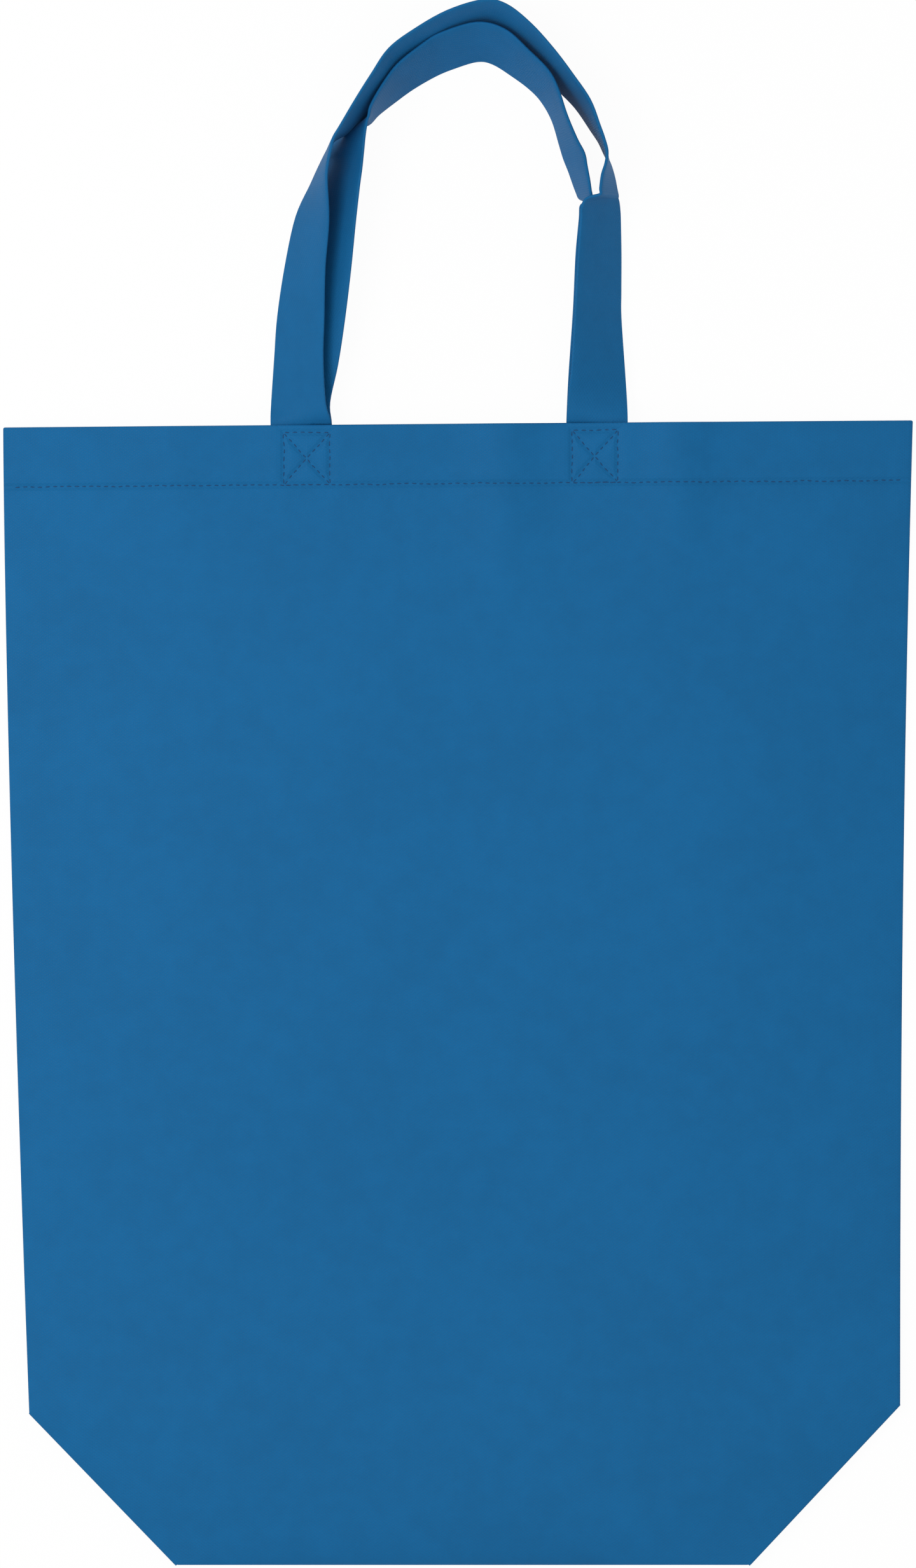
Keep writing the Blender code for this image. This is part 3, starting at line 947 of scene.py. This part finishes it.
@dataclass
class Handle:
    """A handle: a strip folded double along one edge, its ends laid flat inside the hem."""

    body: BagBody
    panel: Panel
    route: Route
    node: str
    photo: PhotoScale = PhotoScale()
    rise: float = 0.1667
    width: float = 0.0245
    slit: float = 0.0003
    tail: float = 0.0265
    seat_gap: float = 0.0005
    steps: int = 5
    seated_stations: int = 5
    layer_columns: int = 7
    fold_steps: int = 6
    camber: float = 0.00010

    def seat(self, side: int, beyond: float) -> Station:
        """Returns a station of the strap's flat end, on the inner face of the hem."""
        s = self.body.sizes
        x = s.handle_shift + side * s.strap_spacing / 2
        under = s.layer + s.cloth / 2 + self.seat_gap + (2 * s.cloth + self.slit) / 2
        z = self.body.panel_point(x, -beyond, self.panel, under).z
        y = s.mouth_at(x) + beyond
        return x + side * self.width / 2, y, x - side * self.width / 2, y, z

    def edges(self, row: Seen) -> tuple[Vector, Vector]:
        """Returns the cut edge's and the fold's x and y at a place in the arch."""
        mouth = self.body.sizes.mouth
        cut = self.photo.place(row.cut_column, row.cut_row, mouth)
        return cut, self.photo.place(row.fold_column, row.fold_row, mouth)

    def middle(self, row: Lean | Seen) -> Vector:
        """Returns the x and y of the strap's middle at a place on its route."""
        s = self.body.sizes
        if isinstance(row, Lean):
            return Vector((s.handle_shift + row.across * s.strap_spacing, s.mouth + row.beyond * self.rise))
        cut, fold = self.edges(row)
        return (cut + fold) / 2

    def leg_run(self, index: int, middles: list[Vector]) -> Vector:
        """Returns how a leg runs past one of its rows, from the rows of the same leg beside it."""
        beside = range(max(index - 1, 0), min(index + 2, len(middles)))
        near = [middles[i] for i in beside if isinstance(self.route[i], Lean)]
        return near[-1] - near[0]

    def stations(self) -> list[Station]:
        """Returns the cut edge's and the fold's x and y and the foot height, along the strap."""
        inside = (-self.tail, -self.tail / 2, 0.0)
        found = [self.seat(-1, beyond) for beyond in inside]
        middles = [self.middle(row) for row in self.route]
        for index, row in enumerate(self.route):
            if isinstance(row, Lean):
                along = self.leg_run(index, middles)
                inward = Vector((along.y, -along.x)).normalized()
                half = inward * self.width / 2 * math.cos(math.radians(row.tilt))
                cut, fold = middles[index] - half, middles[index] + half
                foot = row.foot * self.width
            else:
                cut, fold = self.edges(row)
                foot = row.foot * MM
            found.append((cut.x, cut.y, fold.x, fold.y, foot))
        return found + [self.seat(1, beyond) for beyond in reversed(inside)]

    def frames(self) -> list[tuple[Vector, Vector, Vector, float]]:
        """Returns middle, direction across, direction through and length so far, along the strap."""
        stations = self.stations()
        lists = [list(values) for values in zip(*stations)]
        points = []
        for index in range(len(stations) - 1):
            for step in range(self.steps):
                points.append([spline(values, index, step / self.steps) for values in lists])
        points.append(list(stations[-1]))
        feet = [point[-1] for point in points]
        seated = self.seated_stations * self.steps
        middles = []
        leans = []
        for i, (cut_x, cut_y, fold_x, fold_y, foot) in enumerate(points):
            if seated <= i < len(points) - seated:
                near = feet[i - self.steps : i + self.steps + 1]
                foot = sum(near) / len(near)
            plan = math.hypot(fold_x - cut_x, fold_y - cut_y)
            height = math.sqrt(max(self.width**2 - plan**2, 0.0))
            middles.append(Vector(((cut_x + fold_x) / 2, (cut_y + fold_y) / 2, foot + height / 2)))
            leans.append(Vector((fold_x - cut_x, fold_y - cut_y, height)).normalized())
        found = []
        run = 0.0
        for i, (middle, across) in enumerate(zip(middles, leans)):
            along = middles[min(i + 1, len(middles) - 1)] - middles[max(i - 1, 0)]
            run += (middle - middles[max(i - 1, 0)]).length
            found.append((middle, across, across.cross(along).normalized(), run))
        return found

    def section(self) -> list[tuple[float, float]]:
        """Returns the doubled strip's middle line across the strap, from cut edge to cut edge."""
        cloth = self.body.sizes.cloth
        half = (self.width - cloth) / 2
        lift = (self.slit + cloth) / 2
        layer = []
        for i in range(self.layer_columns + 1):
            across = mix(-half, half - lift, i / self.layer_columns)
            layer.append((across, lift + self.camber * (1 - (across / half) ** 2)))
        bend = []
        for i in range(1, self.fold_steps):
            angle = math.pi / 2 - math.pi * i / self.fold_steps
            bend.append((half - lift + lift * math.cos(angle), lift * math.sin(angle)))
        return layer + bend + [(a, -b) for a, b in reversed(layer)]

    def sheet(self) -> BMesh:
        """Returns the strap's middle surface, with a UV map in metres along and across the strip."""
        mesh = bmesh.new()
        uv = mesh.loops.layers.uv.new("strip")
        section = self.section()
        flat = [0.0]
        for (a, b), (c, d) in zip(section, section[1:]):
            flat.append(flat[-1] + math.hypot(c - a, d - b))
        previous: list[BMVert] = []
        place: dict[BMVert, tuple[float, float]] = {}
        for middle, across, through, run in self.frames():
            row = [mesh.verts.new(middle + across * a + through * b) for a, b in section]
            place.update({vert: (run, v) for vert, v in zip(row, flat)})
            if previous:
                BagBody.bridge(mesh, previous, row)
            previous = row
        for face in mesh.faces:
            for corner in face.loops:
                corner[uv].uv = place[corner.vert]
        bmesh.ops.recalc_face_normals(mesh, faces=mesh.faces)
        return mesh

    def build(self, material: Material) -> Object:
        """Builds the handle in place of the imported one."""
        cloth = ClothPiece(f"{self.panel.value}_strap", self.body.sizes.cloth)
        piece = cloth.finish(self.sheet(), material)
        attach(piece, ROOT)
        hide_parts(self.node)
        return piece


@dataclass
class Sewing:
    """The thread: a row round the hem and a crossed square at each strap end."""

    body: BagBody
    pitch: float = 0.0029
    gap: float = 0.0006
    thread: float = 0.00034
    sides: int = 6
    sink: float = 0.00008
    end_inset: float = 0.0045
    drift: float = 0.00050
    drift_size: float = 1.7
    drift_slice: float = 0.4
    cuts: tuple[float, ...] = (-0.38, -0.2, 0.0, 0.2, 0.38)
    slimming: float = 0.45
    bow: float = 0.35
    dive: float = 1.05

    def stitch(self) -> Object:
        """Models one stitch along X at the origin: a bowed thread whose ends dive into the cloth."""
        deselect_all()
        length = self.pitch - self.gap
        bpy.ops.mesh.primitive_cylinder_add(
            vertices=self.sides, radius=self.thread / 2, depth=length, rotation=(0, math.pi / 2, 0)
        )
        made = bpy.context.object
        made.name = "stitch"
        bpy.ops.object.transform_apply(location=True, rotation=True, scale=True)
        data = made.data
        bpy.ops.object.mode_set(mode="EDIT")
        for share in self.cuts:
            bpy.ops.mesh.select_all(action="SELECT")
            bpy.ops.mesh.bisect(plane_co=(share * length, 0, 0), plane_no=(1, 0, 0))
        bpy.ops.object.mode_set(mode="OBJECT")
        for vert in data.vertices:
            reach = abs(vert.co.x) / (length / 2)
            slim = 1 - self.slimming * reach**4
            vert.co.y *= slim
            vert.co.z = vert.co.z * slim + self.thread * (self.bow - self.dive * reach**3)
        return made

    def rows(self, panel: Panel) -> dict[str, list[tuple[Vector, Vector]]]:
        """Returns the stitches' ends on the cloth's outer face, by the name of each sewn run."""
        s = self.body.sizes
        found: dict[str, list[tuple[Vector, Vector]]] = {}
        inset = s.stitch_inset
        first = -s.mouth_width / 2 + self.end_inset
        count = int((s.mouth_width - 2 * self.end_inset) / self.pitch)
        row = [(first + i * self.pitch, inset) for i in range(count + 1)]
        found["hem"] = self.on_cloth(row, panel)
        for side, name in ((-1, "left"), (1, "right")):
            middle = s.square_shift + side * s.square_spacing / 2
            left, right = middle - s.square_width / 2, middle + s.square_width / 2
            top, low = inset - s.square_height, inset
            top_left, top_right = Vector((left, top)), Vector((right, top))
            low_left, low_right = Vector((left, low)), Vector((right, low))
            path = (top_left, low_right, low_left, top_right, top_left, low_left)
            runs: list[tuple[Vector, Vector]] = []
            for start, end in (*zip(path, path[1:]), (low_right, top_right)):
                steps = max(1, round((end - start).length / self.pitch))
                points = [tuple(start.lerp(end, i / steps)) for i in range(steps + 1)]
                runs += self.on_cloth(points, panel)
            found[f"{name}_square"] = runs
        return found

    def on_cloth(self, points: list[tuple[float, float]], panel: Panel) -> list[tuple[Vector, Vector]]:
        """Lifts a run of needle holes, given by x and fall, onto the cloth's outer face."""
        out = 1 if panel is Panel.FRONT else -1
        rise = Vector((0, 0, out * (self.body.sizes.cloth / 2 - self.sink)))
        placed = []
        for x, fall in points:
            spot = Vector((x, fall, self.drift_slice)) / self.pitch * self.drift_size
            drift = noise.noise_vector(spot) * self.drift
            placed.append(self.body.panel_point(x + drift.x, fall + drift.y, panel) + rise)
        return list(zip(placed, placed[1:]))

    def build(self, material: Material) -> list[Object]:
        """Sews every row of both panels and returns the thread's pieces."""
        model = self.stitch()
        pieces = []
        for panel in Panel:
            for name, ends in self.rows(panel).items():
                piece = self.sew(f"{panel.value}_{name}_thread", model, ends, panel, material)
                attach(piece, ROOT)
                pieces.append(piece)
        bpy.data.objects.remove(model, do_unlink=True)
        return pieces

    def sew(self, name: str, model: Object, ends: list[tuple[Vector, Vector]], panel: Panel,
            material: Material) -> Object:
        """Copies the modelled stitch to each pair of needle holes.

        Args:
            name: The piece's name.
            model: The stitch that is copied.
            ends: Where each stitch starts and ends.
            panel: The panel whose outer face it lies on.
            material: The thread's finish.
        """
        mesh = bmesh.new()
        uv = mesh.loops.layers.uv.new("thread")
        out = 1 if panel is Panel.FRONT else -1
        length = self.pitch - self.gap
        crown = self.thread * self.bow
        for start, end in ends:
            along = (end - start).normalized()
            beside = Vector((0, 0, out)).cross(along).normalized()
            up = along.cross(beside)
            turn = Matrix((along, beside, up)).transposed().to_4x4()
            stretch = Matrix.Scale((end - start).length / self.pitch, 4, Vector((1, 0, 0)))
            before = len(mesh.faces)
            mesh.from_mesh(model.data)
            mesh.verts.ensure_lookup_table()
            mesh.faces.ensure_lookup_table()
            faces = mesh.faces[before:]
            verts = {v for face in faces for v in face.verts}
            for face in faces:
                for corner in face.loops:
                    x, y, z = corner.vert.co
                    corner[uv].uv = (x / length + 0.5, math.atan2(z - crown, y) / math.tau + 0.5)
            laid = Matrix.Translation((start + end) / 2) @ turn @ stretch
            bmesh.ops.transform(mesh, matrix=laid, verts=list(verts))
        bmesh.ops.recalc_face_normals(mesh, faces=mesh.faces)
        data = bpy.data.meshes.new(name)
        mesh.to_mesh(data)
        mesh.free()
        data.materials.append(material)
        data.shade_smooth()
        piece = bpy.data.objects.new(name, data)
        bpy.context.collection.objects.link(piece)
        return piece


@dataclass(frozen=True)
class Lamp:
    """A soft square lamp that points at the bag."""

    name: str
    place: tuple[float, float, float]
    size: float
    power: float

    def build(self) -> Object:
        """Adds the lamp, unseen by the camera."""
        data = bpy.data.lights.new(self.name, "AREA")
        data.size = self.size
        data.energy = self.power
        lamp = bpy.data.objects.new(self.name, data)
        lamp.location = self.place
        lamp.rotation_euler = (-Vector(self.place)).to_track_quat("-Z", "Y").to_euler()
        lamp.visible_camera = False
        bpy.context.collection.objects.link(lamp)
        return lamp


@dataclass
class Studio:
    """White floor, soft lamps and the camera that looks straight down from far away."""

    frame_height: float = 0.6206
    camera_distance: float = 12.0
    floor_size: float = 60.0
    floor_drop: float = 0.0004
    floor_white: float = 0.96
    floor_glow: float = 0.96
    ambient: float = 0.56
    lamps: tuple[Lamp, ...] = (
        Lamp("key_lamp", (-0.70, 0.22, 1.20), 0.7, 7.2),
        Lamp("fill_lamp", (0.10, -0.60, 2.2), 1.8, 7.0),
    )

    def build(self) -> None:
        """Builds the whole studio."""
        self.floor()
        self.world()
        for lamp in self.lamps:
            lamp.build()
        self.camera()
        bpy.context.scene.view_settings.view_transform = "Standard"

    @staticmethod
    def seen(graph: Graph) -> NodeSocket:
        """Returns 1 for rays that show the background: from the camera, a reflection or through glass."""
        path = graph.node("ShaderNodeLightPath").outputs
        mirrored = graph.math("MAXIMUM", path["Is Glossy Ray"], path["Is Transmission Ray"])
        return graph.math("MAXIMUM", path["Is Camera Ray"], mirrored)

    def floor(self) -> Object:
        """Adds the floor, white for the camera, which keeps the bag's soft shadow."""
        deselect_all()
        bpy.ops.mesh.primitive_plane_add(size=self.floor_size, location=(0, 0, -self.floor_drop))
        floor = bpy.context.object
        floor.name = "floor"
        made = bpy.data.materials.new("white_floor")
        made.use_nodes = True
        graph = Graph(made.node_tree)
        shader = made.node_tree.nodes["Principled BSDF"]
        white = self.floor_white
        shader.inputs["Base Color"].default_value = (white, white, white, 1.0)
        shader.inputs["Roughness"].default_value = 1.0
        shader.inputs["Specular IOR Level"].default_value = 0.0
        glow = graph.node("ShaderNodeEmission", {"Color": (1.0, 1.0, 1.0, 1.0), "Strength": 1.0})
        share = graph.math("MULTIPLY", self.seen(graph), self.floor_glow)
        blend = graph.node("ShaderNodeMixShader", {0: share, 1: shader.outputs[0], 2: glow.outputs[0]})
        graph.feed(made.node_tree.nodes["Material Output"].inputs["Surface"], blend.outputs[0])
        floor.data.materials.append(made)
        return floor

    def world(self) -> None:
        """Makes the surroundings white for the camera and a plain soft light for the bag."""
        world = bpy.data.worlds.new("studio")
        world.use_nodes = True
        graph = Graph(world.node_tree)
        light = world.node_tree.nodes["Background"]
        light.inputs["Color"].default_value = (1.0, 1.0, 1.0, 1.0)
        strength = graph.between(self.seen(graph), 0.0, 1.0, self.ambient, 1.0)
        graph.feed(light.inputs["Strength"], strength)
        bpy.context.scene.world = world

    def camera(self) -> Object:
        """Adds the camera over the middle of the frame."""
        data = bpy.data.cameras.new("camera")
        data.lens = data.sensor_width * self.camera_distance / self.frame_height
        data.clip_end = 4 * self.camera_distance
        camera = bpy.data.objects.new("camera", data)
        camera.location = (0, 0, self.camera_distance)
        bpy.context.collection.objects.link(camera)
        bpy.context.scene.camera = camera
        return camera


def main() -> None:
    """Builds the bag, its handles, the sewing and the studio, and reports each piece."""
    logging.basicConfig(level=logging.INFO, format="%(name)s: %(message)s")
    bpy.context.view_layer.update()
    studio = Studio()
    studio.build()
    sizes = BagSizes()
    body_cloth = SpunbondFinish("body_spunbond", BODY_BLUE).material("Object", StitchPucker(sizes))
    strap_cloth = SpunbondFinish("strap_spunbond", STRAP_BLUE).material("UV")
    thread = ThreadFinish("sewing_thread", THREAD_BLUE).material()

    body = BagBody(sizes)
    bag = body.build(body_cloth)
    front = Handle(body, Panel.FRONT, FRONT_ROUTE, "front_handle").build(strap_cloth)
    rear = Handle(body, Panel.BACK, REAR_ROUTE, "rear_handle").build(strap_cloth)
    threads = Sewing(body).build(thread)
    for piece in (bag, front, rear, *threads):
        LOG.info("%s: %d faces", piece.name, len(piece.data.polygons))


if __name__ == "__main__":
    main()
